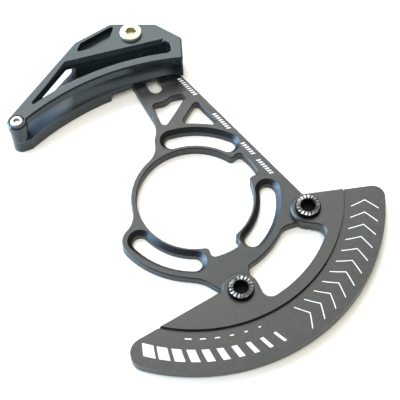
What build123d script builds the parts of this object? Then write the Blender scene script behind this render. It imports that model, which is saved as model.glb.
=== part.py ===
from build123d import *
from math import acos, cos, degrees, radians, sin, sqrt
import os

os.makedirs("parts", exist_ok=True)

# Bicycle chain guide with a bash guard, for a frame with three tabs on a 56 mm bolt circle.
# The origin is on the bottom bracket's axis, in the plate's inboard face: +X is forward, +Z outboard.
# All sizes are in millimetres and degrees.

# Backplate
plate_t = 4.0
edge_break = 0.35
opening_r = 22.4
rim_w = 2.1
tab_inset = 3.5
tab_slot_w = 6.2
tab_slot_sink = 1.7
tab_pad_margin = 2.0
tab_slot_travel = 46.6
tab_slot_angles = (85.2, -17.0, 245.4)
notch_depth = 4.4
notch_angles = (36.0, -64.0)
notch_land = 1.07
notch_round = 1.8
rim_round = 10.0
web_step = 0.8
web_angles = (-22.6, -57.2)
web_round = 5.0
web_hip_round = 1.5
web_lug_side = 3.5
web_lug_angle = -70.0
web_back_angles = (-97.0, -85.8)
web_back_round = 12.0
lower_lug_angles = (178.0, 48.0)

# Arm of the backplate, with the slot that the upper guide is set along
arm_angle = 117.2
arm_slot_foot_r = 54.55
arm_slot_foot_angle = 106.51
arm_slot_w = 5.4
arm_slot_len = 23.0
arm_slot_margin = 5.0
arm_left = 7.6
arm_end = 6.4
arm_end_round = 0.43
arm_root_round = 14.0
arm_front_land = 8.1
arm_front_angle = 38.5
arm_front_run = 25.5
arm_left_strut_w = 2.7
arm_strut_w = 3.4
arm_window_round = 1.6
arm_window_gap = 5.0
arm_window_top = 40.2
slot_window_sink = 0.6
slot_window_angle = 110.5
strut_window_sink = 1.4
strut_window_angle = 100.8
arm_diagonal_w = 3.3
arm_diagonal_run = 4.8
arm_pad_margin = 0.2
nut_recess_w = 8.6
nut_recess_t = 1.9

# Bash guard and its bolts
bolt_radii = {"front": 43.0, "lower": 43.9}
bolt_angles = {"front": -9.4, "lower": -68.5}
plate_lug_r = 6.0
guard_lug_r = {"front": 6.5, "lower": 6.9}
guard_r = 72.3
guard_window_gap = 8.8
guard_window_round = 3.5
guard_field_w = 4.5
guard_bottom = 1.2
guard_lap_t = 2.4
guard_step_t = 1.1
guard_groove = 0.6
guard_edge = 0.5
guard_front_angle = 7.9
guard_tail_angle = 211.2
guard_tail_offset = 3.2
guard_tail_round = 5.6
guard_front_round = 4.5
guard_crook_round = 2.0
lap_gap = 0.25
lap_shoulder = 2.0
lap_side = 0.6
bolt_head_r = 4.85
bolt_head_h = 1.8
bolt_shank_r = 3.0
bolt_hex = 5.0
bolt_clear = 0.2

# Upper guide: a body on the arm and a cover, with the chain's channel between them
slide_gap = 0.1
flange_gap = 0.3
floor_t = 2.1
channel_h = 6.0
cover_t = 3.8
cover_front_r = 96.2
cover_band_w = 3.8
cover_edge = 0.6
cover_foot_round = 1.0
cover_window_bevel = 1.4
cover_window_round = 1.2
cover_window_foot_round = 1.8
cover_window_tip_round = 0.4
cover_window_left_angle = 57.5
cover_bevel_run = 10.0
cover_bevel_len = 20.0
cover_pocket_t = 3.0
cover_pocket_round = 0.8
block_run = 3.5
floor_front_r = 106.0
floor_back_angle = 54.8
floor_back_offset = 2.7
floor_back_len = 36.0
floor_back_round = 1.5
flange_wall = 1.8
flange_rib_runs = (11.0, 22.0)
flange_step = 2.6
flange_step_left = 8.3
flange_step_round = 1.0
clamp_from_end = 2.0
clamp_head_r = 4.45
clamp_head_h = 1.5
clamp_shank_r = 2.5
clamp_hex = 4.0
end_reach = 60.88
end_angle = 224.67
end_boss_r = 3.85
end_post_r = 3.5
end_post_groove = 0.3
end_head_r = 2.45
end_head_h = 1.7
end_shank_r = 1.5
end_hex = 2.5
end_thread_len = 8.0
end_screw_margin = 1.0
head_seat_t = 1.2
head_clear = 0.5
screw_clear = 0.15
nut_len = 9.0

# Places on the upper guide, from the clamp screw's axis
guide_corners = (
    (Vector(-20.5, -6.0), 3.0),
    (Vector(-8.2, 4.1), 1.5),
    (Vector(9.4, 3.7), 1.5),
    (Vector(18.6, -3.1), 2.0),
    (Vector(20.8, -17.0), 0.5),
)
cover_front_ends = (Vector(-40.4, -42.6), Vector(20.8, -13.0))
floor_front_ends = (Vector(-40.4, -46.2), Vector(20.8, -12.5))
ceiling_places = (Vector(-26.0, -15.2), Vector(13.5, -4.1))
window_right_place = Vector(16.1, -5.6)
pocket_places = (Vector(-22.0, -9.1), Vector(-20.4, -4.6), Vector(-6.8, 4.9), Vector(-9.5, -5.7))


def polar(radius, angle):
    return Vector(radius * cos(radians(angle)), radius * sin(radians(angle)))


rim_r = opening_r + rim_w
tab_circle_r = rim_r + tab_inset
slot_end_r = tab_slot_w / 2 + tab_slot_sink
tab_pad_r = slot_end_r + tab_pad_margin
pad_outer_r = tab_circle_r + tab_pad_r
notch_r = opening_r + notch_depth
slot_gap_angle = 360 + tab_slot_angles[1] - tab_slot_angles[2] - tab_slot_travel
notch_half_angle = slot_gap_angle / 2 - degrees((slot_end_r + notch_land) / tab_circle_r)
arm_front_d = rim_r + arm_front_land
web_r = pad_outer_r + web_step
guard_window_r = bolt_radii["front"] + guard_window_gap
guard_step_r = guard_window_r + guard_field_w
guard_field_top = plate_t + guard_lap_t
guard_band_top = guard_field_top - guard_step_t
floor_top = plate_t + slide_gap + floor_t
cover_bottom = floor_top + channel_h
guide_top = cover_bottom + cover_t
arm_slot_foot = polar(arm_slot_foot_r, arm_slot_foot_angle)
along = polar(1, arm_angle)
across = polar(1, arm_angle + 90)
front_normal = polar(1, arm_front_angle)
front_run = polar(1, arm_front_angle - 90)
clamp_pos = arm_slot_foot + along * (arm_slot_len - clamp_from_end)
end_pos = clamp_pos + polar(end_reach, end_angle)
bolts = {name: polar(bolt_radii[name], angle) for name, angle in bolt_angles.items()}


def on_arm(run, left):
    return arm_slot_foot + along * run + across * left


def on_front_edge(run):
    return front_normal * arm_front_d + front_run * run


def near(shape, *points):
    return [shape.vertices().sort_by_distance(point)[0] for point in points]


# Where a line through a point meets a circle round a centre, on the side that the line runs to
def line_on_circle(centre, radius, point, angle):
    side = polar(1, angle + 90)
    offset_from_centre = (point - centre).dot(side)
    return centre + side * offset_from_centre + polar(sqrt(radius**2 - offset_from_centre**2), angle)


# Centre of an arc that bulges up between two places on the upper guide
def arc_centre(ends, radius):
    half_chord = (ends[1] - ends[0]) / 2
    bulge = Vector(-half_chord.Y, half_chord.X).normalized()
    return clamp_pos + ends[0] + half_chord - bulge * sqrt(radius**2 - half_chord.length**2)


def arc_top(centre, radius, x):
    return line_on_circle(centre, radius, Vector(x, centre.Y), 90)


# Outline of the backplate: rim, slot pads, arm and the web that carries the guard's lugs
slot_arc = Edge.make_circle(
    tab_circle_r,
    start_angle=-tab_slot_travel / 2,
    end_angle=tab_slot_travel / 2,
)
tab_places = [Rotation(0, 0, angle) for angle in tab_slot_angles]
pad_span = tab_slot_travel / 2
pad_reach = degrees(acos((rim_r**2 + tab_circle_r**2 - tab_pad_r**2) / (2 * rim_r * tab_circle_r)))
rim_joints = [
    polar(rim_r, tab_slot_angles[0] + pad_span + pad_reach),
    polar(rim_r, tab_slot_angles[2] - pad_span - pad_reach),
]
pad_end = polar(tab_circle_r, tab_slot_angles[0] + pad_span)
arm_joint = line_on_circle(pad_end, tab_pad_r, on_arm(0, arm_left), arm_angle)
arm_top = arm_slot_len + arm_end
arm_right = (arm_front_d - on_arm(arm_top, 0).dot(front_normal)) / across.dot(front_normal)
arm_corners = [on_arm(arm_top, arm_right), on_arm(arm_top, arm_left)]
web_front = polar(web_r, web_angles[0])
web_hip = polar(web_r, web_angles[1])
web_back = polar(web_r, web_back_angles[1])
with BuildSketch() as plate_outline:
    Circle(rim_r)
    with Locations(*tab_places):
        SlotArc(slot_arc, 2 * tab_pad_r)
    with BuildLine():
        Polyline(
            web_front,
            bolts["front"] + polar(web_lug_side, web_lug_angle),
            bolts["front"],
            on_front_edge(arm_front_run),
            *arm_corners,
            arm_joint - along * tab_pad_r / 2,
            (0, 0),
            polar(pad_outer_r, web_back_angles[0]),
            web_back,
            bolts["lower"] + polar(plate_lug_r, lower_lug_angles[0]),
            bolts["lower"],
            bolts["lower"] + polar(plate_lug_r, lower_lug_angles[1]),
            web_hip,
        )
        CenterArc((0, 0), web_r, web_angles[1], web_angles[0] - web_angles[1])
    make_face()
    with Locations(*bolts.values()):
        Circle(plate_lug_r)
    fillet(near(plate_outline, *arm_corners), arm_end_round * (arm_left - arm_right))
    fillet(near(plate_outline, *rim_joints), rim_round)
    fillet(near(plate_outline, arm_joint), arm_root_round)
    fillet(near(plate_outline, web_front), web_round)
    fillet(near(plate_outline, web_hip), web_hip_round)
    fillet(near(plate_outline, web_back), web_back_round)

# Opening for the bottom bracket, with two relief notches between the slots
with BuildSketch() as notch:
    Circle(notch_r)
    with BuildLine():
        Polyline(
            (0, 0),
            polar(2 * notch_r, -notch_half_angle),
            polar(2 * notch_r, notch_half_angle),
            close=True,
        )
    make_face(mode=Mode.INTERSECT)
with BuildSketch() as opening:
    Circle(opening_r)
    with Locations(*[Rotation(0, 0, angle) for angle in notch_angles]):
        add(notch.sketch)
    corners = [
        polar(radius, angle + side * notch_half_angle)
        for radius in (opening_r, notch_r)
        for angle in notch_angles
        for side in (-1, 1)
    ]
    fillet(near(opening, *corners), notch_round)

# Windows in the arm: one under the slot's end, one between the diagonal and the front edge
with BuildSketch() as slot_window:
    with BuildLine():
        Polyline(
            on_arm(-arm_window_gap, arm_left - arm_left_strut_w),
            on_front_edge(-arm_window_top) - front_normal * arm_diagonal_w,
            polar(pad_outer_r - slot_window_sink, slot_window_angle),
            close=True,
        )
    make_face()
    with Locations(arm_slot_foot):
        Circle(arm_slot_w / 2 + arm_slot_margin, mode=Mode.SUBTRACT)
    fillet(slot_window.vertices(), arm_window_round)
with BuildSketch() as strut_window:
    with BuildLine():
        Polyline(
            on_front_edge(arm_diagonal_run - arm_window_top) - front_normal * arm_strut_w,
            polar(pad_outer_r - strut_window_sink, strut_window_angle),
            on_front_edge(0) - front_normal * arm_strut_w,
            close=True,
        )
    make_face()
    Circle(pad_outer_r - arm_pad_margin, mode=Mode.SUBTRACT)
    fillet(strut_window.vertices(), arm_window_round)

arm_slot_middle = Pos(arm_slot_foot + along * (arm_slot_len / 2)) * Rotation(0, 0, arm_angle)
with BuildPart() as backplate:
    with BuildSketch(Plane.XY.offset(plate_t / 2)):
        add(plate_outline.sketch)
        add(slot_window.sketch, mode=Mode.SUBTRACT)
        add(strut_window.sketch, mode=Mode.SUBTRACT)
    extrude(amount=plate_t / 2)
    for wire in backplate.faces().sort_by(Axis.Z)[-1].wires():
        chamfer(wire.edges(), edge_break)
    mirror(about=Plane.XY.offset(plate_t / 2))
    with BuildSketch():
        add(opening.sketch)
    extrude(amount=plate_t, mode=Mode.SUBTRACT)
    chamfer(backplate.edges(Select.LAST).group_by(Axis.Z)[-1], edge_break)
    # Tab slots, sunk on the outboard side
    with BuildSketch():
        with Locations(*tab_places):
            SlotArc(slot_arc, tab_slot_w)
    extrude(amount=plate_t, mode=Mode.SUBTRACT)
    chamfer(backplate.edges(Select.LAST).group_by(Axis.Z)[-1], tab_slot_sink)
    # Arm slot, with a stepped recess for the slide nut on the inboard side
    with BuildSketch():
        with Locations(arm_slot_middle):
            SlotCenterToCenter(arm_slot_len, arm_slot_w)
    extrude(amount=plate_t, mode=Mode.SUBTRACT)
    with BuildSketch():
        with Locations(arm_slot_middle):
            SlotCenterToCenter(arm_slot_len, nut_recess_w)
    extrude(amount=nut_recess_t, mode=Mode.SUBTRACT)
    # Tapped holes for the guard's bolts
    with BuildSketch():
        with Locations(*bolts.values()):
            Circle(bolt_shank_r)
    extrude(amount=plate_t, mode=Mode.SUBTRACT)
backplate.part.label = "backplate"
export_step(backplate.part, "parts/backplate.step")

# Bash guard: band and two necks, each with a straight side that is tangent to its lug
neck_front = bolts["front"] + polar(guard_lug_r["front"], bolt_angles["front"] - 90)
neck_lower = bolts["lower"] + polar(guard_lug_r["lower"], bolt_angles["lower"] + 90)
front_reach = polar(guard_r, bolt_angles["front"])
lower_reach = polar(guard_r, bolt_angles["lower"])
window_corners = [
    line_on_circle(Vector(), guard_window_r, neck_front, bolt_angles["front"]),
    line_on_circle(Vector(), guard_window_r, neck_lower, bolt_angles["lower"]),
]
front_end = bolts["front"] + polar(guard_lug_r["front"], guard_front_angle + 90)
tail_end = bolts["lower"] + polar(guard_tail_offset, guard_tail_angle - 90)
front_corner = line_on_circle(Vector(), guard_r, front_end, guard_front_angle)
tail_corner = line_on_circle(Vector(), guard_r, tail_end, guard_tail_angle)
tail_crook = line_on_circle(bolts["lower"], guard_lug_r["lower"], tail_end, guard_tail_angle)
with BuildSketch() as guard_window:
    Circle(guard_window_r)
    with BuildLine():
        Polyline(
            neck_front - front_reach / 4,
            neck_front + front_reach,
            neck_lower + lower_reach,
            neck_lower - lower_reach / 4,
            close=True,
        )
    make_face(mode=Mode.INTERSECT)
    fillet(near(guard_window, *window_corners), guard_window_round)
with BuildSketch() as guard_outline:
    Circle(guard_r)
    with BuildLine():
        Polyline(
            front_end,
            front_end + polar(guard_r, guard_front_angle),
            front_reach * 2,
            lower_reach * 2,
            tail_end + polar(guard_r, guard_tail_angle),
            tail_end,
            bolts["lower"],
            neck_lower,
            neck_front,
            bolts["front"],
            close=True,
        )
    make_face(mode=Mode.INTERSECT)
    add(guard_window.sketch, mode=Mode.SUBTRACT)
    for name, centre in bolts.items():
        with Locations(centre):
            Circle(guard_lug_r[name])
    fillet(near(guard_outline, front_corner), guard_front_round)
    fillet(near(guard_outline, tail_corner), guard_tail_round)
    fillet(near(guard_outline, tail_crook), guard_crook_round)

with BuildPart() as bash_guard:
    with BuildSketch(Plane.XY.offset(guard_bottom)):
        add(guard_outline.sketch)
    extrude(amount=guard_field_top - guard_bottom)
    chamfer(bash_guard.faces().sort_by(Axis.Z)[-1].edges(), guard_edge)
    # Outer band, lower than the field, with a groove at the foot of the step
    with BuildSketch(Plane.XY.offset(guard_band_top)):
        Circle(2 * guard_r)
        Circle(guard_step_r, mode=Mode.SUBTRACT)
    extrude(amount=guard_field_top, mode=Mode.SUBTRACT)
    with BuildSketch(Plane.XY.offset(guard_band_top)):
        Circle(guard_step_r + guard_groove)
        Circle(guard_step_r, mode=Mode.SUBTRACT)
    extrude(amount=-guard_groove, mode=Mode.SUBTRACT)
    # Half laps over the plate's lugs
    with BuildSketch(Plane.XY.offset(guard_bottom)):
        for name, centre in bolts.items():
            with Locations(Pos(centre) * Rotation(0, 0, bolt_angles[name])):
                Circle(plate_lug_r + lap_gap)
                with Locations((lap_shoulder, 0)):
                    lap_w = 2 * (guard_lug_r[name] + lap_side)
                    Rectangle(lap_w, lap_w, align=(Align.MAX, Align.CENTER))
    extrude(amount=plate_t - guard_bottom, mode=Mode.SUBTRACT)
    with BuildSketch(Plane.XY.offset(guard_field_top)):
        with Locations(*bolts.values()):
            Circle(bolt_shank_r + bolt_clear)
    extrude(amount=-guard_field_top, mode=Mode.SUBTRACT)
bash_guard.part.label = "bash_guard"
export_step(bash_guard.part, "parts/bash_guard.step")


# Screws: low heads with a hexagon socket
def socket_screw(seat, head_r, head_h, shank_r, shank_len, hexagon):
    with BuildPart() as screw:
        with BuildSketch(seat):
            Circle(head_r)
        extrude(amount=head_h)
        chamfer(screw.edges().group_by(Axis.Z)[-1], head_h / 4)
        with BuildSketch(seat):
            Circle(shank_r)
        extrude(amount=-shank_len)
        chamfer(screw.edges().group_by(Axis.Z)[0], edge_break)
        with BuildSketch(seat.offset(head_h)):
            RegularPolygon(hexagon / 2, 6, major_radius=False)
        extrude(amount=-hexagon / 2, mode=Mode.SUBTRACT)
    return screw.part


for name, centre in bolts.items():
    seat = Plane((centre.X, centre.Y, guard_field_top))
    bash_bolt = socket_screw(seat, bolt_head_r, bolt_head_h, bolt_shank_r, guard_field_top, bolt_hex)
    bash_bolt.label = f"bash_bolt_{name}"
    export_step(bash_bolt, f"parts/bash_bolt_{name}.step")

# Upper guide: one hull round its corners and the end boss, cut by the arcs over the chainring
cover_front_centre = arc_centre(cover_front_ends, cover_front_r)
floor_front_centre = arc_centre(floor_front_ends, floor_front_r)
ceiling = [clamp_pos + place for place in ceiling_places]
ceiling_run = (ceiling[1] - ceiling[0]).normalized()
ceiling_up = Vector(-ceiling_run.Y, ceiling_run.X)
window_right = clamp_pos + window_right_place
far = 2 * guard_r


def guide_hull(end_r):
    with BuildSketch() as hull:
        with Locations(end_pos):
            Circle(end_r)
        for place, radius in guide_corners:
            with Locations(clamp_pos + place):
                Circle(radius)
        make_hull()
    return hull.sketch


# Cover: outline, chain window, bevel over the window, blind pocket
last_place, last_radius = guide_corners[-1]
cover_foot = arc_top(cover_front_centre, cover_front_r, (clamp_pos + last_place).X + last_radius)
with BuildSketch() as cover_outline:
    add(guide_hull(end_boss_r))
    with Locations(cover_front_centre):
        Circle(cover_front_r, mode=Mode.SUBTRACT)
    with Locations(end_pos):
        Circle(end_boss_r)
    fillet(near(cover_outline, cover_foot), cover_foot_round)
window_sill_r = cover_front_r + cover_band_w
window_foot = arc_top(cover_front_centre, window_sill_r, window_right.X)
window_tip = line_on_circle(cover_front_centre, window_sill_r, ceiling[0], cover_window_left_angle)
with BuildSketch() as cover_window:
    with BuildLine():
        Polyline(
            *ceiling,
            window_right,
            window_foot - Vector(0, cover_front_r / 8),
            ceiling[0] - polar(cover_front_r / 2, cover_window_left_angle),
            close=True,
        )
    make_face()
    with Locations(cover_front_centre):
        Circle(window_sill_r, mode=Mode.SUBTRACT)
    fillet(near(cover_window, window_foot), cover_window_foot_round)
    fillet(near(cover_window, *ceiling, window_right), cover_window_round)
    fillet(near(cover_window, window_tip), cover_window_tip_round)
with BuildSketch() as window_bevel:
    with BuildLine():
        Polyline(
            ceiling[0] + ceiling_up * cover_window_bevel,
            ceiling[1] + ceiling_up * cover_window_bevel,
            ceiling[1] - ceiling_up * 2 * cover_window_bevel,
            ceiling[0] + ceiling_run * cover_bevel_run - ceiling_up * 2 * cover_window_bevel,
            ceiling[0] - polar(cover_bevel_len, cover_window_left_angle),
            close=True,
        )
    make_face()
with BuildSketch() as cover_pocket:
    with BuildLine():
        Polyline(*[clamp_pos + place for place in pocket_places], close=True)
    make_face()
    fillet(cover_pocket.vertices(), cover_pocket_round)

with BuildPart() as guide_cover:
    with BuildSketch(Plane.XY.offset(cover_bottom)):
        add(cover_outline.sketch)
    extrude(amount=cover_t)
    chamfer(guide_cover.faces().sort_by(Axis.Z)[-1].edges(), cover_edge)
    with BuildSketch(Plane.XY.offset(cover_bottom)):
        add(cover_window.sketch)
    extrude(amount=cover_t, mode=Mode.SUBTRACT)
    chamfer(guide_cover.edges(Select.LAST).group_by(Axis.Z)[-1], edge_break)
    with BuildSketch(Plane.XY.offset(guide_top)):
        add(window_bevel.sketch)
    extrude(amount=-cover_window_bevel, taper=45, mode=Mode.SUBTRACT)
    with BuildSketch(Plane.XY.offset(guide_top)):
        add(cover_pocket.sketch)
    extrude(amount=-cover_pocket_t, mode=Mode.SUBTRACT)
    # Sunk seat of the end screw, and the holes of both screws
    with BuildSketch(Plane.XY.offset(guide_top)):
        with Locations(end_pos):
            Circle(end_head_r + head_clear)
    extrude(amount=-head_seat_t, mode=Mode.SUBTRACT)
    with BuildSketch(Plane.XY.offset(guide_top)):
        with Locations(clamp_pos):
            Circle(clamp_shank_r + screw_clear)
        with Locations(end_pos):
            Circle(end_shank_r + screw_clear)
    extrude(amount=-cover_t, mode=Mode.SUBTRACT)
guide_cover.part.label = "guide_cover"
export_step(guide_cover.part, "parts/guide_cover.step")

# Body: channel floor on the arm, flange beside the arm, block behind the channel and end post
back_start = end_pos + polar(floor_back_offset, floor_back_angle + 90)
back_corner = back_start + polar(floor_back_len, floor_back_angle)
with BuildSketch() as floor_outline:
    add(guide_hull(end_post_r))
    with Locations(floor_front_centre):
        Circle(floor_front_r, mode=Mode.SUBTRACT)
    with BuildLine():
        Polyline(
            back_start - polar(far, floor_back_angle),
            back_corner,
            back_corner + Vector(0, far),
            back_corner + Vector(-far, far),
            close=True,
        )
    make_face(mode=Mode.SUBTRACT)
    with Locations(end_pos):
        Circle(end_post_r)
    fillet(near(floor_outline, back_corner), floor_back_round)
block_start = ceiling[0] + ceiling_run * block_run
with BuildSketch() as block_outline:
    add(floor_outline.sketch)
    with BuildLine():
        Polyline(
            block_start,
            ceiling[1],
            window_right,
            window_right + Vector(0, far),
            block_start + ceiling_up * far,
            close=True,
        )
    make_face(mode=Mode.INTERSECT)
flange_step_x = clamp_pos.X - flange_step_left
flange_step_corners = [
    arc_top(floor_front_centre, floor_front_r, flange_step_x),
    arc_top(floor_front_centre, floor_front_r + flange_step, flange_step_x),
]
with BuildSketch() as flange_recess:
    with Locations(floor_front_centre):
        Circle(floor_front_r + flange_step)
    with Locations(flange_step_corners[0]):
        Rectangle(far, far, align=(Align.MIN, Align.CENTER), mode=Mode.INTERSECT)
with BuildSketch() as flange_outline:
    add(floor_outline.sketch)
    with BuildLine():
        Polyline(
            on_arm(-far, arm_left + flange_gap),
            on_arm(far, arm_left + flange_gap),
            on_arm(far, -far),
            on_arm(-far, -far),
            close=True,
        )
    make_face(mode=Mode.SUBTRACT)
    add(flange_recess.sketch, mode=Mode.SUBTRACT)
    fillet(near(flange_outline, *flange_step_corners), flange_step_round)
with BuildSketch() as flange_core:
    offset(flange_outline.sketch, amount=-flange_wall)
    with Locations(end_pos):
        Circle(end_post_r + flange_wall, mode=Mode.SUBTRACT)
    for run in flange_rib_runs:
        with Locations(Pos(back_start + polar(run, floor_back_angle)) * Rotation(0, 0, floor_back_angle)):
            Rectangle(flange_wall, far, mode=Mode.SUBTRACT)
with BuildPart() as guide_body:
    with BuildSketch(Plane.XY.offset(plate_t + slide_gap)):
        add(floor_outline.sketch)
    extrude(amount=floor_top - plate_t - slide_gap)
    with BuildSketch():
        add(flange_outline.sketch)
    extrude(amount=floor_top)
    with BuildSketch():
        add(flange_core.sketch)
    extrude(amount=plate_t, mode=Mode.SUBTRACT)
    with BuildSketch(Plane.XY.offset(floor_top)):
        add(block_outline.sketch)
        with Locations(end_pos):
            Circle(end_post_r)
    extrude(amount=cover_bottom - floor_top)
    # Groove under the cover's end boss, and the holes of both screws
    with BuildSketch(Plane.XY.offset(cover_bottom)):
        with Locations(end_pos):
            Circle(end_post_r + end_post_groove)
            Circle(end_post_r - end_post_groove, mode=Mode.SUBTRACT)
    extrude(amount=-end_post_groove, mode=Mode.SUBTRACT)
    with BuildSketch(Plane.XY.offset(cover_bottom)):
        with Locations(clamp_pos):
            Circle(clamp_shank_r + screw_clear)
    extrude(amount=-cover_bottom, mode=Mode.SUBTRACT)
    with BuildSketch(Plane.XY.offset(cover_bottom)):
        with Locations(end_pos):
            Circle(end_shank_r)
    extrude(amount=-end_thread_len, mode=Mode.SUBTRACT)
guide_body.part.label = "guide_body"
export_step(guide_body.part, "parts/guide_body.step")

clamp_seat = Plane((clamp_pos.X, clamp_pos.Y, guide_top))
clamp_screw = socket_screw(
    clamp_seat, clamp_head_r, clamp_head_h, clamp_shank_r, guide_top - edge_break, clamp_hex
)
clamp_screw.label = "clamp_screw"
export_step(clamp_screw, "parts/clamp_screw.step")

end_seat = Plane((end_pos.X, end_pos.Y, guide_top - head_seat_t))
end_screw_len = cover_t - head_seat_t + end_thread_len - end_screw_margin
end_screw = socket_screw(end_seat, end_head_r, end_head_h, end_shank_r, end_screw_len, end_hex)
end_screw.label = "end_screw"
export_step(end_screw, "parts/end_screw.step")

# Slide nut, flush in the stepped recess behind the arm's slot
nut_place = Pos(clamp_pos) * Rotation(0, 0, arm_angle)
with BuildPart() as clamp_nut:
    with BuildSketch():
        with Locations(nut_place):
            SlotOverall(nut_len, nut_recess_w - 2 * flange_gap)
    extrude(amount=nut_recess_t - slide_gap)
    with BuildSketch():
        with Locations(nut_place):
            Circle(clamp_shank_r)
    extrude(amount=plate_t, mode=Mode.SUBTRACT)
clamp_nut.part.label = "clamp_nut"
export_step(clamp_nut.part, "parts/clamp_nut.step")
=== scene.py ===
import bpy
import bmesh
from math import pi, radians
from mathutils import Euler, Matrix, Vector


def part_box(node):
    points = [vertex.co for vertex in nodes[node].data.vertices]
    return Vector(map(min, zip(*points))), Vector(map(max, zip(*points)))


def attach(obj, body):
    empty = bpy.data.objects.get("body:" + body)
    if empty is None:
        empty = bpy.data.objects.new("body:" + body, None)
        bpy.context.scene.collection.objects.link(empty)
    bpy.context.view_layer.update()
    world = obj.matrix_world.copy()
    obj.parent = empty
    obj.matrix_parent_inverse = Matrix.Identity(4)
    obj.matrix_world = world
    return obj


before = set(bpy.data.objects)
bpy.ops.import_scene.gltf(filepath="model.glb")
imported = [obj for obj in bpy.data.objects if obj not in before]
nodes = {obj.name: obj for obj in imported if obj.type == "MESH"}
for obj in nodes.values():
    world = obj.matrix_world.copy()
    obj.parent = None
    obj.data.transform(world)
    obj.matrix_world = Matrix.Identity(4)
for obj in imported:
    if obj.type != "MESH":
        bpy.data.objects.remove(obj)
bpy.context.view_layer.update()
print("frame loaded:", len(nodes), "nodes")

scene = bpy.context.scene
scene.view_settings.view_transform = "Standard"
scene.view_settings.look = "None"
mm = 0.001


def middle(node):
    low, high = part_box(node)
    return (low + high) / 2


# Small helpers for shader trees and geometry trees

def addNode(tree, kind, **settings):
    made = tree.nodes.new(kind)
    for key, value in settings.items():
        setattr(made, key, value)
    return made


def feed(tree, source, target):
    if hasattr(source, "is_output"):        # a socket is linked, a plain value is set
        tree.links.new(source, target)
    else:
        target.default_value = source


def calc(tree, operation, *values):
    made = addNode(tree, "ShaderNodeMath", operation=operation)
    for value, socket in zip(values, made.inputs):
        feed(tree, value, socket)
    return made.outputs["Value"]


def vector(tree, x=0.0, y=0.0, z=0.0):
    made = addNode(tree, "ShaderNodeCombineXYZ")
    for axis, value in zip("XYZ", (x, y, z)):
        feed(tree, value, made.inputs[axis])
    return made.outputs["Vector"]


def axes(tree, source):
    split = addNode(tree, "ShaderNodeSeparateXYZ")
    feed(tree, source, split.inputs[0])
    return [split.outputs[axis] for axis in "XYZ"]


# Finishes: every one is grown from noise on Object coordinates

noiseSpan = (0.3, 0.7)        # nearly all of the noise lies in here
noiseCore = (0.35, 0.65)      # and most of it in here
speckSpan = (0.62, 0.78)      # only the tops of the fine grain
patchDetail = 7.0
fineDetail = 2.0
leastWornAndHighlitEdge = 0.15              # share of the paler edge colour, partly worn edge and partly painted highlight, in the darkest patches; the look's own edge share is that in the palest
edgeTurn = (0.99, 0.86)       # cosines from a plain face to an edge fully painted in the paler edge colour (wear and painted highlight)
edgeSamples = 6


def newMaterial(name):
    mat = bpy.data.materials.new(name)
    mat.use_nodes = True
    tree = mat.node_tree
    return mat, tree, tree.nodes["Principled BSDF"]


def objectPlace(tree, centre=None):
    coord = addNode(tree, "ShaderNodeTexCoord")
    if centre is None:
        return coord.outputs["Object"]
    shift = addNode(tree, "ShaderNodeMapping")
    feed(tree, [-value for value in centre], shift.inputs["Location"])
    feed(tree, coord.outputs["Object"], shift.inputs["Vector"])
    return shift.outputs["Vector"]


def grain(tree, place, scale, detail=4.0, rough=0.6):
    noise = addNode(tree, "ShaderNodeTexNoise")
    for socket, value in (("Vector", place), ("Scale", scale), ("Detail", detail), ("Roughness", rough)):
        feed(tree, value, noise.inputs[socket])
    return noise.outputs["Fac"]


def spread(tree, source, span, first, last):
    remap = addNode(tree, "ShaderNodeMapRange")
    low, high = span
    for socket, value in (("Value", source), ("From Min", low), ("From Max", high),
                          ("To Min", first), ("To Max", last)):
        feed(tree, value, remap.inputs[socket])
    return remap.outputs["Result"]


def blend(tree, factor, first, last, kind="RGBA"):
    mix = addNode(tree, "ShaderNodeMix", data_type=kind)
    for socket, value in (("Factor", factor), ("A", first), ("B", last)):
        feed(tree, (*value, 1) if isinstance(value, tuple) else value, mix.inputs[socket])
    return mix.outputs["Result"]


def mottled(tree, patch, look):
    return blend(tree, spread(tree, patch, noiseSpan, 0, 1), look["dark"], look["pale"])


def edgeMask(tree, width):
    bevel = addNode(tree, "ShaderNodeBevel", samples=edgeSamples)
    feed(tree, width, bevel.inputs["Radius"])
    flat = addNode(tree, "ShaderNodeNewGeometry")
    dot = addNode(tree, "ShaderNodeVectorMath", operation="DOT_PRODUCT")
    feed(tree, bevel.outputs["Normal"], dot.inputs[0])
    feed(tree, flat.outputs["Normal"], dot.inputs[1])
    return spread(tree, dot.outputs["Value"], edgeTurn, 0.0, 1.0)


def relief(tree, shader, height, depth, strength=0.5):
    bump = addNode(tree, "ShaderNodeBump")
    for socket, value in (("Strength", strength), ("Distance", depth), ("Height", height)):
        feed(tree, value, bump.inputs[socket])
    feed(tree, bump.outputs["Normal"], shader.inputs["Normal"])


def channelFloor(tree, place, look):
    # satin by the post, where the gloss is also tinted blue as a painted reflection of the window light;
    # dull where the chain runs, plain gloss off this face
    x, _, z = axes(tree, place)
    onFloor = calc(tree, "COMPARE", z, look["runLevel"], look["runSlack"])
    along = spread(tree, x, look["runTurn"], 1.0, 0.0)
    floorGloss = spread(tree, along, (0.0, 1.0), look["runDull"], look["runPolish"])
    gloss = blend(tree, onFloor, look["gloss"], floorGloss, "FLOAT")
    return gloss, calc(tree, "MULTIPLY", onFloor, along)


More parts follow.
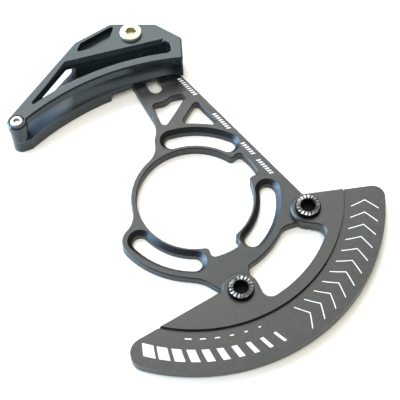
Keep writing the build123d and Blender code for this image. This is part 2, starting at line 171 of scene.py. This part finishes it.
def darkFinish(name, look):
    mat, tree, shader = newMaterial(name)
    into = shader.inputs
    place = objectPlace(tree)
    patch = grain(tree, place, look["patchScale"], patchDetail, look["patchRough"])
    fine = grain(tree, place, look["grainScale"], fineDetail)
    body = mottled(tree, patch, look)
    body = blend(tree, spread(tree, fine, speckSpan, 0, look["speck"]), body, look["wearAndEdgeHighlight"])
    wornAndHighlitEdgeHere = spread(tree, patch, noiseCore, leastWornAndHighlitEdge, look["wornAndHighlitEdge"])
    # edges are painted paler: partly worn edges, partly a painted highlight along them
    body = blend(tree, calc(tree, "MULTIPLY", edgeMask(tree, look["edge"]), wornAndHighlitEdgeHere), body, look["wearAndEdgeHighlight"])
    shine, swing = look["roughness"], look["patchShine"]
    rough = spread(tree, patch, noiseCore, shine - swing, shine + swing)
    relief(tree, shader, fine, look["grainDepth"])
    feed(tree, look["ior"], into["IOR"])
    feed(tree, look["gloss"], into["Specular IOR Level"])
    feed(tree, (*look["sheen"], 1), into["Specular Tint"])
    if "runLevel" in look:
        gloss, satinAndBlueTint = channelFloor(tree, place, look)
        feed(tree, gloss, into["Specular IOR Level"])
        # the satin end's reflection is tinted blue: a painted reflection of the blue window light
        feed(tree, blend(tree, satinAndBlueTint, look["sheen"], look["runPaintedBlueReflection"]), into["Specular Tint"])
        feed(tree, satinAndBlueTint, into["Coat Weight"])
        feed(tree, look["runRough"], into["Coat Roughness"])
        feed(tree, look["runCoat"], into["Coat IOR"])
        rough = blend(tree, satinAndBlueTint, rough, look["runRough"], "FLOAT")
    feed(tree, body, into["Base Color"])
    feed(tree, rough, into["Roughness"])
    return mat


plateLook = {
    "dark": (0.008, 0.008, 0.009), "pale": (0.013, 0.013, 0.014), "wearAndEdgeHighlight": (0.10, 0.12, 0.14),
    "patchScale": 260, "patchRough": 0.6, "patchShine": 0.03,
    "grainScale": 5200, "grainDepth": 0.03 * mm, "speck": 0.10,
    "edge": 0.3 * mm, "wornAndHighlitEdge": 0.35,
    "roughness": 0.40, "ior": 1.52, "gloss": 0.5, "sheen": (0.95, 0.98, 1.0),
}
guardLook = {
    "dark": (0.006, 0.007, 0.007), "pale": (0.044, 0.044, 0.042), "wearAndEdgeHighlight": (0.10, 0.10, 0.10),
    "patchScale": 150, "patchRough": 0.75, "patchShine": 0.07,
    "grainScale": 2600, "grainDepth": 0.08 * mm, "speck": 0.30,
    "edge": 0.3 * mm, "wornAndHighlitEdge": 0.25,
    "roughness": 0.38, "ior": 1.50, "gloss": 0.5, "sheen": (0.98, 1.0, 0.99),
}
guideLook = {
    "dark": (0.012, 0.016, 0.020), "pale": (0.018, 0.023, 0.028), "wearAndEdgeHighlight": (0.07, 0.09, 0.10),
    "patchScale": 150, "patchRough": 0.65, "patchShine": 0.05,
    "grainScale": 3400, "grainDepth": 0.03 * mm, "speck": 0.10,
    "edge": 0.35 * mm, "wornAndHighlitEdge": 0.35,
    "roughness": 0.23, "ior": 1.52, "gloss": 0.38, "sheen": (0.80, 0.95, 1.0),
    "runLevel": 6.2 * mm, "runSlack": 0.2 * mm,      # height of the channel's floor
    "runTurn": (-57 * mm, -48 * mm),                 # satin to the left of this, dull to the right
    # the satin end gets a coat and a blue gloss tint; the blue tint is a painted reflection
    "runPolish": 0.9, "runDull": 0.11, "runPaintedBlueReflection": (0.60, 0.82, 1.0), "runRough": 0.62, "runCoat": 1.75,
}
boltLook = {
    "dark": (0.002, 0.002, 0.002), "pale": (0.004, 0.004, 0.004), "wearAndEdgeHighlight": (0.05, 0.05, 0.05),
    "patchScale": 240, "patchRough": 0.6, "patchShine": 0.06,
    "grainScale": 4200, "grainDepth": 0.02 * mm, "speck": 0.02,
    "edge": 0.2 * mm, "wornAndHighlitEdge": 0.2,
    "roughness": 0.45, "ior": 1.4, "gloss": 0.06, "sheen": (1.0, 1.0, 1.0),
}


def turnedSteel(name, centre, look):
    mat, tree, shader = newMaterial(name)
    place = objectPlace(tree, centre)
    x, y, _ = axes(tree, place)
    reach = addNode(tree, "ShaderNodeVectorMath", operation="LENGTH")
    feed(tree, vector(tree, x, y), reach.inputs[0])
    turns = calc(tree, "SINE", calc(tree, "MULTIPLY", reach.outputs["Value"], 2 * pi / look["groove"]))
    patch = grain(tree, place, look["patchScale"])
    shine, swing = look["roughness"], look["patchShine"]
    feed(tree, mottled(tree, patch, look), shader.inputs["Base Color"])
    feed(tree, spread(tree, patch, noiseSpan, shine - swing, shine + swing), shader.inputs["Roughness"])
    relief(tree, shader, turns, look["grooveDepth"], look["grooveStrength"])
    feed(tree, look["metal"], shader.inputs["Metallic"])
    return mat


screwLook = {
    "dark": (0.46, 0.435, 0.28), "pale": (0.56, 0.535, 0.36), "metal": 0.7,
    "patchScale": 420, "roughness": 0.42, "patchShine": 0.06,
    "groove": 0.22 * mm, "grooveDepth": 0.006 * mm, "grooveStrength": 0.35,
}
endLook = dict(screwLook, dark=(0.52, 0.52, 0.51), pale=(0.64, 0.64, 0.62))

plateFinish = darkFinish("plateAnodised", plateLook)
guardFinish = darkFinish("guardMoulded", guardLook)
guideFinish = darkFinish("guideMoulded", guideLook)
boltFinish = darkFinish("boltBlack", boltLook)
finishes = {
    "backplate": plateFinish,
    "bash_guard": guardFinish,
    "bash_bolt_front": boltFinish,
    "bash_bolt_lower": boltFinish,
    "guide_body": guideFinish,
    "guide_cover": guideFinish,
}
for screw, look in (("clamp_screw", screwLook), ("clamp_nut", screwLook), ("end_screw", endLook)):
    finishes[screw] = turnedSteel("turned." + screw, middle(screw), look)
for name, mat in finishes.items():
    mesh = nodes[name].data
    mesh.materials.clear()
    mesh.materials.append(mat)
print("finishes set:", len(finishes))


# Geometry Nodes helpers

weldGap = 0.001 * mm


def newTree(name, inputs):
    tree = bpy.data.node_groups.new(name, "GeometryNodeTree")
    sockets = tree.interface
    sockets.new_socket("Geometry", in_out="OUTPUT", socket_type="NodeSocketGeometry")
    keys = {}
    for label, kind in inputs.items():
        made = sockets.new_socket(label, in_out="INPUT", socket_type="NodeSocket" + kind)
        keys[label] = made.identifier
    given = addNode(tree, "NodeGroupInput").outputs
    result = addNode(tree, "NodeGroupOutput").inputs["Geometry"]
    return tree, given, result, keys


def pointAxes(tree):
    return axes(tree, addNode(tree, "GeometryNodeInputPosition").outputs["Position"])


def unitGrid(tree, columns, rows):
    sheet = addNode(tree, "GeometryNodeMeshGrid")
    for socket, value in (("Size X", 1.0), ("Size Y", 1.0), ("Vertices X", columns), ("Vertices Y", rows)):
        feed(tree, value, sheet.inputs[socket])
    return sheet.outputs["Mesh"]


def copies(tree, count, spot, shape, socket, setting):
    points = addNode(tree, "GeometryNodePoints")
    feed(tree, count, points.inputs["Count"])
    feed(tree, spot, points.inputs["Position"])
    made = addNode(tree, "GeometryNodeInstanceOnPoints")
    feed(tree, points.outputs[0], made.inputs["Points"])
    feed(tree, shape, made.inputs["Instance"])
    feed(tree, setting, made.inputs[socket])
    return made.outputs["Instances"]


def moved(tree, geometry, position):
    made = addNode(tree, "GeometryNodeSetPosition")
    feed(tree, geometry, made.inputs["Geometry"])
    feed(tree, position, made.inputs["Position"])
    return made.outputs["Geometry"]


def flipped(tree, sheet):
    made = addNode(tree, "GeometryNodeFlipFaces")
    feed(tree, sheet, made.inputs["Mesh"])
    return made.outputs["Mesh"]


def slab(tree, sheet, thickness):
    raised = addNode(tree, "GeometryNodeExtrudeMesh")
    feed(tree, sheet, raised.inputs["Mesh"])
    feed(tree, vector(tree, 0.0, 0.0, 1.0), raised.inputs["Offset"])
    feed(tree, thickness, raised.inputs["Offset Scale"])
    feed(tree, False, raised.inputs["Individual"])
    both = addNode(tree, "GeometryNodeJoinGeometry")
    feed(tree, flipped(tree, sheet), both.inputs["Geometry"])
    feed(tree, raised.outputs["Mesh"], both.inputs["Geometry"])
    closed = addNode(tree, "GeometryNodeMergeByDistance")
    feed(tree, both.outputs["Geometry"], closed.inputs["Geometry"])
    feed(tree, weldGap, closed.inputs["Distance"])
    return closed.outputs["Geometry"]


def realised(tree, geometry):
    whole = addNode(tree, "GeometryNodeRealizeInstances")
    feed(tree, geometry, whole.inputs["Geometry"])
    return whole.outputs["Geometry"]


def endTree(tree, geometry, material, result):
    painted = addNode(tree, "GeometryNodeSetMaterial")
    feed(tree, realised(tree, geometry), painted.inputs["Geometry"])
    feed(tree, material, painted.inputs["Material"])
    feed(tree, painted.outputs["Geometry"], result)


def grow(tree, keys, values):
    carrier = bpy.data.objects.new("carrier", bpy.data.meshes.new("carrier"))
    scene.collection.objects.link(carrier)
    modifier = carrier.modifiers.new("grow", "NODES")
    modifier.node_group = tree
    for label, value in values.items():
        modifier[keys[label]] = value
    bpy.context.view_layer.update()
    ready = carrier.evaluated_get(bpy.context.evaluated_depsgraph_get())
    mesh = bpy.data.meshes.new_from_object(ready)
    carrier.modifiers.clear()
    bpy.data.objects.remove(carrier)
    return mesh


def piece(name, meshes, body, material):
    joined = bmesh.new()
    for mesh in meshes:
        joined.from_mesh(mesh)
    mesh = bpy.data.meshes.new(name)
    joined.to_mesh(mesh)
    joined.free()
    mesh.materials.clear()
    mesh.materials.append(material)
    made = bpy.data.objects.new(name, mesh)
    scene.collection.objects.link(made)
    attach(made, body)
    print(name, "made:", len(mesh.polygons), "faces")


# White print: rows of strokes, laid out flat, then bent round the guard or turned along the arm

strokeColumns, strokeRows = 5, 7      # an odd number of rows, so that a fold has its point


def strokeTree(name, bent):
    inputs = {"Count": "Int", "Pitch": "Float", "Width": "Float", "Width Step": "Float", "Height": "Float",
              "Row": "Float", "Slant": "Float", "Fold": "Float", "Thickness": "Float", "Level": "Float",
              "Angle": "Float", "Material": "Material"}
    inputs.update({"Radius": "Float"} if bent else {"Start": "Vector"})
    tree, given, result, keys = newTree(name, inputs)
    index = addNode(tree, "GeometryNodeInputIndex").outputs["Index"]
    spot = vector(tree, calc(tree, "MULTIPLY", index, given["Pitch"]), given["Row"])
    width = calc(tree, "ADD", given["Width"], calc(tree, "MULTIPLY", index, given["Width Step"]))
    size = vector(tree, width, given["Height"], 1.0)
    strip = unitGrid(tree, strokeColumns, strokeRows)
    flat = realised(tree, copies(tree, given["Count"], spot, strip, "Scale", size))
    x, y, _ = pointAxes(tree)
    lean = calc(tree, "MULTIPLY", y, given["Slant"])
    fold = calc(tree, "MULTIPLY", calc(tree, "ABSOLUTE", y), given["Fold"])
    run = calc(tree, "ADD", x, calc(tree, "ADD", lean, fold))
    if bent:
        angle = calc(tree, "ADD", given["Angle"], calc(tree, "DIVIDE", run, given["Radius"]))
        reach = calc(tree, "ADD", given["Radius"], y)
        target = vector(tree, calc(tree, "MULTIPLY", reach, calc(tree, "COSINE", angle)),
                        calc(tree, "MULTIPLY", reach, calc(tree, "SINE", angle)), given["Level"])
    else:
        turn = addNode(tree, "ShaderNodeVectorRotate", rotation_type="Z_AXIS")
        feed(tree, vector(tree, run, y, given["Level"]), turn.inputs["Vector"])
        feed(tree, given["Angle"], turn.inputs["Angle"])
        shift = addNode(tree, "ShaderNodeVectorMath", operation="ADD")
        feed(tree, turn.outputs["Vector"], shift.inputs[0])
        feed(tree, given["Start"], shift.inputs[1])
        target = shift.outputs["Vector"]
    base = moved(tree, flat, target)
    if bent:                              # bending turns the sheet over
        base = flipped(tree, base)
    endTree(tree, slab(tree, base, given["Thickness"]), given["Material"], result)
    return tree, keys


def paint(name, look):
    mat, tree, shader = newMaterial(name)
    place = objectPlace(tree)
    patch = grain(tree, place, look["patchScale"])
    fine = grain(tree, place, look["grainScale"], fineDetail)
    feed(tree, mottled(tree, patch, look), shader.inputs["Base Color"])
    feed(tree, spread(tree, fine, noiseSpan, *look["roughness"]), shader.inputs["Roughness"])
    relief(tree, shader, fine, look["grainDepth"])
    return mat


printLook = {"dark": (0.70, 0.73, 0.75), "pale": (0.86, 0.88, 0.89), "roughness": (0.42, 0.62),
             "patchScale": 260, "grainScale": 3000, "grainDepth": 0.02 * mm}
printFinish = paint("whitePrint", printLook)
plainStroke = {"Width Step": 0.0, "Row": 0.0, "Slant": 0.0, "Fold": 0.0, "Thickness": 0.04 * mm,
               "Material": printFinish}

guardPrint = {
    "level": 5.3 * mm,                    # top of the guard's outer band
    "chevrons": {"Count": 11, "Pitch": 5.4 * mm, "Width": 0.40 * mm, "Height": 10.4 * mm,
                 "Radius": 64.4 * mm, "Angle": radians(-51), "Fold": -0.62},
    "bars": {"Count": 10, "Pitch": 5.3 * mm, "Width": 4.3 * mm, "Width Step": -0.36 * mm,
             "Height": 4.6 * mm, "Radius": 66.0 * mm, "Angle": radians(-105), "Slant": 0.42},
    "dashes": {"Count": 6, "Pitch": 5.2 * mm, "Width": 2.4 * mm, "Width Step": -0.3 * mm,
               "Height": 0.4 * mm, "Radius": 59.6 * mm, "Angle": radians(-93)},
}
bandTree, bandKeys = strokeTree("strokesRoundTheBand", True)
bandMeshes = []
for kind in ("chevrons", "bars", "dashes"):
    row = {**plainStroke, **guardPrint[kind], "Level": guardPrint["level"]}
    bandMeshes.append(grow(bandTree, bandKeys, row))
piece("guardPrint", bandMeshes, "frame_side", printFinish)

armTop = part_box("backplate")[1].z
armPrint = {
    "rows": ((-4.7, 56.9, 9), (9.2, 39.0, 8), (20.0, 24.7, 6), (25.9, 16.6, 7)),     # start in mm, strokes
    "stroke": {"Pitch": 1.25 * mm, "Width": 0.62 * mm, "Height": 1.5 * mm, "Row": -0.9 * mm, "Slant": 0.45,
               "Angle": radians(-51.5)},
}
armTree, armKeys = strokeTree("strokesAlongTheArm", False)
armMeshes = []
for startX, startY, count in armPrint["rows"]:
    start = (startX * mm, startY * mm, 0.0)
    row = {**plainStroke, **armPrint["stroke"], "Count": count, "Start": start, "Level": armTop}
    armMeshes.append(grow(armTree, armKeys, row))
piece("armMarks", armMeshes, "frame_side", printFinish)


# Serrated rings on the heads of the guard's bolts

toothColumns, toothRows = 4, 5            # an odd number of rows puts one on the ridge


def ringTree():
    tree, given, result, keys = newTree("serratedRing", {
        "Teeth": "Int", "Inner": "Float", "Outer": "Float", "Tooth Height": "Float", "Fall": "Float",
        "Root": "Float", "Centre": "Vector", "Material": "Material"})
    index = addNode(tree, "GeometryNodeInputIndex").outputs["Index"]
    step = calc(tree, "DIVIDE", 2 * pi, given["Teeth"])
    x, y, z = pointAxes(tree)
    out = calc(tree, "ADD", x, 0.5)       # 0 at the inner end of a tooth, 1 at the outer end
    length = calc(tree, "SUBTRACT", given["Outer"], given["Inner"])
    reach = calc(tree, "ADD", given["Inner"], calc(tree, "MULTIPLY", out, length))
    side = calc(tree, "MULTIPLY", calc(tree, "MULTIPLY", y, step), reach)
    # 1 on the ridge, 0 at both sides
    ridge = calc(tree, "SUBTRACT", 1.0, calc(tree, "MULTIPLY", calc(tree, "ABSOLUTE", y), 2.0))
    drop = calc(tree, "MULTIPLY", out, given["Fall"])
    lift = calc(tree, "SUBTRACT", calc(tree, "MULTIPLY", ridge, given["Tooth Height"]), drop)
    rise = calc(tree, "MULTIPLY", z, calc(tree, "ADD", lift, given["Root"]))
    level = calc(tree, "SUBTRACT", rise, given["Root"])
    block = slab(tree, unitGrid(tree, toothColumns, toothRows), 1.0)
    tooth = moved(tree, block, vector(tree, reach, side, level))
    turn = addNode(tree, "FunctionNodeEulerToRotation")
    feed(tree, vector(tree, 0.0, 0.0, calc(tree, "MULTIPLY", index, step)), turn.inputs[0])
    ring = copies(tree, given["Teeth"], given["Centre"], tooth, "Rotation", turn.outputs[0])
    endTree(tree, ring, given["Material"], result)
    return tree, keys


brightLook = {
    "dark": (0.30, 0.30, 0.30), "pale": (0.85, 0.85, 0.84), "metal": 1.0,
    "patchScale": 900, "roughness": 0.28, "patchShine": 0.06,
    "groove": 0.3 * mm, "grooveDepth": 0.004 * mm, "grooveStrength": 0.35,
}
brightFinish = turnedSteel("brightSerration", (0, 0, 0), brightLook)
boltRing = {"Teeth": 18, "Inner": 2.95 * mm, "Outer": 4.42 * mm, "Tooth Height": 0.24 * mm,
            "Fall": 0.16 * mm, "Root": 0.2 * mm, "Material": brightFinish}
serratedTree, serratedKeys = ringTree()
ringMeshes = []
for bolt in ("bash_bolt_front", "bash_bolt_lower"):
    centre = middle(bolt)
    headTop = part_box(bolt)[1].z
    ring = {**boltRing, "Centre": (centre.x, centre.y, headTop + boltRing["Fall"])}
    ringMeshes.append(grow(serratedTree, serratedKeys, ring))
piece("boltSerrations", ringMeshes, "frame_side", brightFinish)


# Floor, light and camera

floorLook = {"half": 1.5, "level": -0.2 * mm,      # just under the part
             "colour": (0.95, 0.945, 0.93), "roughness": 0.9}
half, level = floorLook["half"], floorLook["level"]
floorMesh = bpy.data.meshes.new("floor")
corners = [(-half, -half, level), (half, -half, level), (half, half, level), (-half, half, level)]
floorMesh.from_pydata(corners, [], [(0, 1, 2, 3)])
floor = bpy.data.objects.new("floor", floorMesh)
scene.collection.objects.link(floor)
floorMat, floorTree, floorShader = newMaterial("paleFloor")
feed(floorTree, (*floorLook["colour"], 1), floorShader.inputs["Base Color"])
feed(floorTree, floorLook["roughness"], floorShader.inputs["Roughness"])
floorMesh.materials.append(floorMat)

roomLook = {"colour": (0.92, 0.96, 1.0), "strength": 0.12}
world = bpy.data.worlds.new("studio")
world.use_nodes = True
backdrop = world.node_tree.nodes["Background"].inputs
feed(world.node_tree, (*roomLook["colour"], 1), backdrop["Color"])
feed(world.node_tree, roomLook["strength"], backdrop["Strength"])
scene.world = world

windowBlue = (0.42, 0.68, 1.0)
softBoxes = {
    "overheadSheen": {"place": (-0.12, 0.68, 0.95), "aim": (0, 0, 0), "size": (0.85, 0.75), "power": 12.5,
                      "colour": (1.0, 0.985, 0.93), "inGloss": True, "inDiffuse": True},
    "overheadFill": {"place": (-0.15, -0.45, 1.3), "aim": (0, 0, 0), "size": (1.2, 1.2), "power": 19,
                     "colour": (1.0, 0.97, 0.87), "inGloss": False, "inDiffuse": True},
    # the window glows on glossy edges alone, the glow lights the floor and the dull walls
    "leftWindow": {"place": (-0.95, 0.25, 0.22), "aim": (0, 0.1, 0.05), "size": (1.5, 0.44), "power": 50,
                   "colour": windowBlue, "inGloss": True, "inDiffuse": False},
    "leftGlow": {"place": (-0.95, 0.1, 0.5), "aim": (0, 0, 0), "size": (1.2, 0.6), "power": 16,
                 "colour": windowBlue, "inGloss": False, "inDiffuse": True},
}
for name, light in softBoxes.items():
    lamp = bpy.data.lights.new(name, "AREA")
    lamp.shape = "RECTANGLE"
    lamp.size, lamp.size_y = light["size"]
    lamp.energy = light["power"]
    lamp.color = light["colour"]
    box = bpy.data.objects.new(name, lamp)
    scene.collection.objects.link(box)
    box.location = light["place"]
    aim = Vector(light["aim"]) - Vector(light["place"])
    box.rotation_euler = aim.to_track_quat("-Z", "Y").to_euler()
    box.visible_glossy = light["inGloss"]
    box.visible_diffuse = light["inDiffuse"]

camera = {
    "place": (1.863 * mm, -217.491 * mm, 359.157 * mm),
    "turn": (radians(31.314), radians(0.494), radians(-0.812)),
    "lens": 98.1, "sensor": 36, "near": 0.01,
}
lensData = bpy.data.cameras.new("camera")
lensData.lens = camera["lens"]
lensData.sensor_width = camera["sensor"]
lensData.clip_start = camera["near"]
eye = bpy.data.objects.new("camera", lensData)
scene.collection.objects.link(eye)
turn = Euler(camera["turn"]).to_matrix().to_4x4()
eye.matrix_world = Matrix.Translation(camera["place"]) @ turn
scene.camera = eye
print("stage set")
